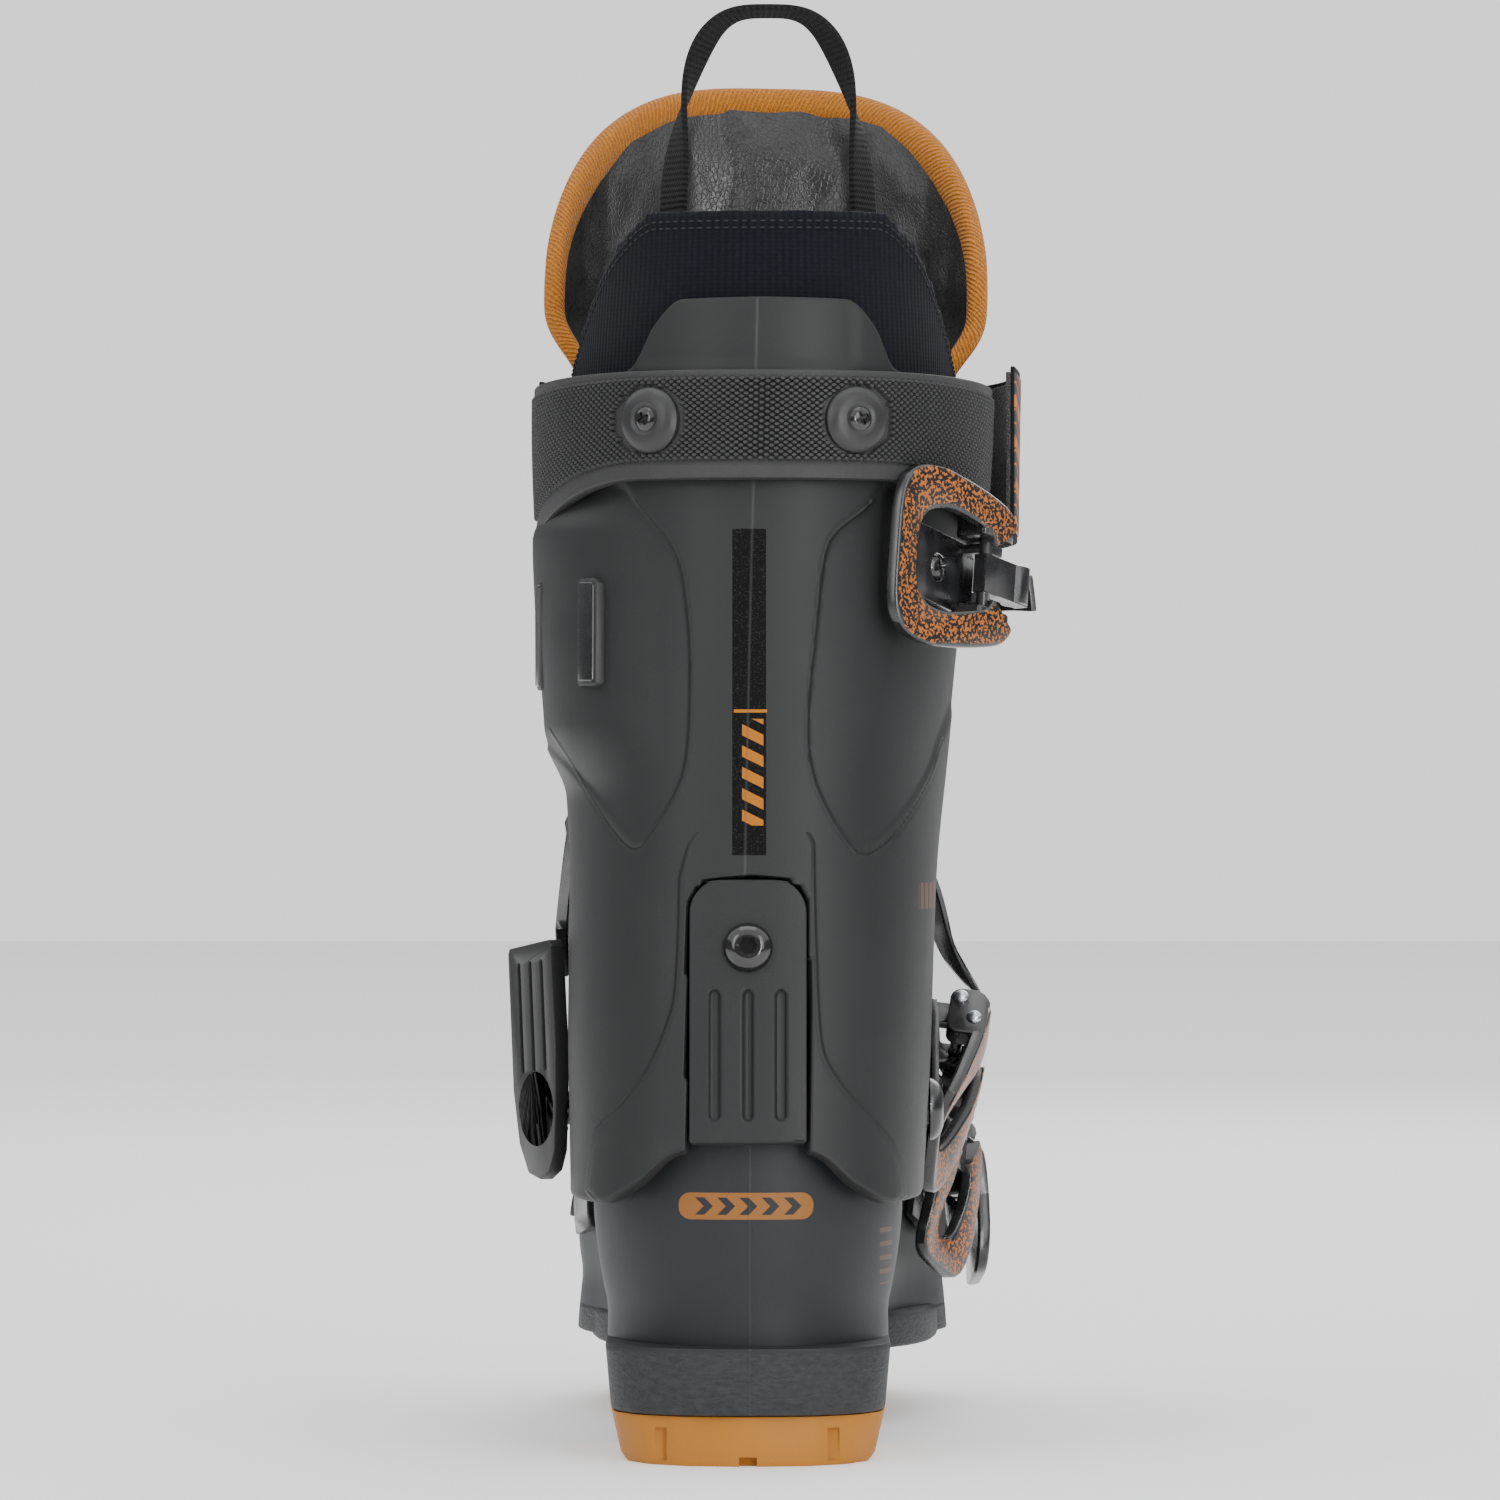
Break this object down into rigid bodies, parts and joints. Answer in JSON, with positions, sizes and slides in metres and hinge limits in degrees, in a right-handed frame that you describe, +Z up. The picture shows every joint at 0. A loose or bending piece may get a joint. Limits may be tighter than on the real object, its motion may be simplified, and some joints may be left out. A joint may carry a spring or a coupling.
{
  "type": "alpine ski boot",
  "caption": "Right alpine ski boot: overlapped rigid shell, hinged flexing cuff with buckles and power strap, padded liner with tall tongue, ledged sole.",
  "frame": {"origin": "centre of the heel pad's bottom face, on the ground", "axes": "+Z up, +Y towards the toe, +X towards the outer side of the right foot"},
  "size_m": [0.1326, 0.3093, 0.3736],
  "materials": {
    "shell_plastic": "fine moulded grain, charcoal",
    "cuff_plastic": "fine moulded grain, charcoal",
    "tan_rubber": "matte moulded tan",
    "black_metal": "satin black coated",
    "black_plastic": "satin moulded black",
    "zinc": "bright zinc plated",
    "band_rubber": "moulded lozenge pattern, matte black",
    "webbing": "ribbed black webbing",
    "liner_fabric": "fine vertical knit, blue-black",
    "tongue_leather": "pebbled black synthetic leather",
    "rim_knit": "brushed orange knit edging",
    "speckle_paint": "black coat with fine orange speckle",
    "print_orange": "thin matte orange print"
  },
  "bodies": {
    "shell": {"lower_shell": "shell_plastic", "liner_bootie": "liner_fabric", "footbed": "liner_fabric", "heel_pad": "tan_rubber", "toe_pad": "tan_rubber", "heel_pad_screw_inner": "black_metal", "heel_pad_screw_outer": "black_metal", "toe_pad_screw_inner": "black_metal", "toe_pad_screw_outer": "black_metal", "spine_plate": "cuff_plastic", "spine_bolt": "black_metal", "ankle_bolt_outer": "black_metal", "ankle_bolt_inner": "black_metal", "instep_base": "black_metal", "instep_lever_pin": "zinc", "instep_ladder": "black_metal", "toe_base": "black_metal", "toe_lever_pin": "zinc", "toe_ladder": "black_metal"},
    "cuff": {"cuff": "cuff_plastic", "strap_band": "band_rubber", "strap_washer_inner": "black_plastic", "strap_washer_outer": "black_plastic", "strap_screw_inner": "black_metal", "strap_screw_outer": "black_metal", "power_strap": "webbing", "liner_shaft": "liner_fabric", "tongue": "tongue_leather", "pull_loop": "webbing", "ankle_plate_inner": "black_plastic", "upper_cuff_base": "black_metal", "upper_cuff_lever_pin": "zinc", "upper_cuff_ladder": "black_metal", "lower_cuff_base": "black_metal", "lower_cuff_lever_pin": "zinc", "lower_cuff_ladder": "black_metal"},
    "upper_cuff_lever": {"upper_cuff_lever": "black_metal"},
    "upper_cuff_link": {"upper_cuff_link": "black_metal"},
    "upper_cuff_arm": {"upper_cuff_arm": "black_metal"},
    "lower_cuff_lever": {"lower_cuff_lever": "black_metal"},
    "lower_cuff_link": {"lower_cuff_link": "black_metal"},
    "lower_cuff_arm": {"lower_cuff_arm": "black_metal"},
    "instep_lever": {"instep_lever": "black_metal"},
    "instep_link": {"instep_link": "black_metal"},
    "instep_arm": {"instep_arm": "black_metal"},
    "toe_lever": {"toe_lever": "black_metal"},
    "toe_link": {"toe_link": "black_metal"},
    "toe_arm": {"toe_arm": "black_metal"}
  },
  "joints": [
    {"name": "cuff_flex", "type": "hinge", "parent": "shell", "child": "cuff", "pos_m": [0, 0.034, 0.087], "axis": [-1, 0, 0], "range_deg": [0, 8], "stiffness_Nm_per_rad": 120},
    {"name": "upper_cuff_lever_turn", "type": "hinge", "parent": "cuff", "child": "upper_cuff_lever", "pos_m": [0.06152, 0.02223, 0.2244], "axis": [0.072, 0.2, 0.9771], "range_deg": [0, 110]},
    {"name": "upper_cuff_link_turn", "type": "hinge", "parent": "upper_cuff_lever", "child": "upper_cuff_link", "pos_m": [0.06106, 0.01442, 0.22603], "axis": [0.072, 0.2, 0.9771], "range_deg": [-110, 0]},
    {"name": "upper_cuff_arm_swing", "type": "hinge", "parent": "upper_cuff_link", "child": "upper_cuff_arm", "pos_m": [0.07194, 0.0295, 0.22214], "axis": [-0.072, -0.2, -0.9771], "range_deg": [0, 50]},
    {"name": "lower_cuff_lever_turn", "type": "hinge", "parent": "cuff", "child": "lower_cuff_lever", "pos_m": [0.0556, 0.08052, 0.10481], "axis": [0.0551, -0.7062, 0.7058], "range_deg": [0, 110]},
    {"name": "lower_cuff_link_turn", "type": "hinge", "parent": "lower_cuff_lever", "child": "lower_cuff_link", "pos_m": [0.05895, 0.07552, 0.09955], "axis": [0.0551, -0.7062, 0.7058], "range_deg": [-110, 0]},
    {"name": "lower_cuff_arm_swing", "type": "hinge", "parent": "lower_cuff_link", "child": "lower_cuff_arm", "pos_m": [0.06123, 0.08895, 0.11281], "axis": [-0.0551, 0.7062, -0.7058], "range_deg": [0, 50]},
    {"name": "instep_lever_turn", "type": "hinge", "parent": "shell", "child": "instep_lever", "pos_m": [0.05203, 0.12731, 0.07548], "axis": [-0.3402, -0.8747, 0.3452], "range_deg": [0, 110]},
    {"name": "instep_link_turn", "type": "hinge", "parent": "instep_lever", "child": "instep_link", "pos_m": [0.05545, 0.12355, 0.06931], "axis": [-0.3402, -0.8747, 0.3452], "range_deg": [-110, 0]},
    {"name": "instep_arm_swing", "type": "hinge", "parent": "instep_link", "child": "instep_arm", "pos_m": [0.05689, 0.13001, 0.08712], "axis": [0.3402, 0.8747, -0.3452], "range_deg": [0, 50]},
    {"name": "toe_lever_turn", "type": "hinge", "parent": "shell", "child": "toe_lever", "pos_m": [0.05643, 0.18591, 0.06524], "axis": [0.0748, -0.9668, 0.2445], "range_deg": [0, 110]},
    {"name": "toe_link_turn", "type": "hinge", "parent": "toe_lever", "child": "toe_link", "pos_m": [0.06151, 0.18477, 0.05917], "axis": [0.0748, -0.9668, 0.2445], "range_deg": [-110, 0]},
    {"name": "toe_arm_swing", "type": "hinge", "parent": "toe_link", "child": "toe_arm", "pos_m": [0.05891, 0.1892, 0.07747], "axis": [-0.0748, 0.9668, -0.2445], "range_deg": [0, 50]}
  ],
  "couplings": [
    {"joint": "upper_cuff_link_turn", "follows": "upper_cuff_lever_turn", "ratio": -1},
    {"joint": "lower_cuff_link_turn", "follows": "lower_cuff_lever_turn", "ratio": -1},
    {"joint": "instep_link_turn", "follows": "instep_lever_turn", "ratio": -1},
    {"joint": "toe_link_turn", "follows": "toe_lever_turn", "ratio": -1}
  ]
}
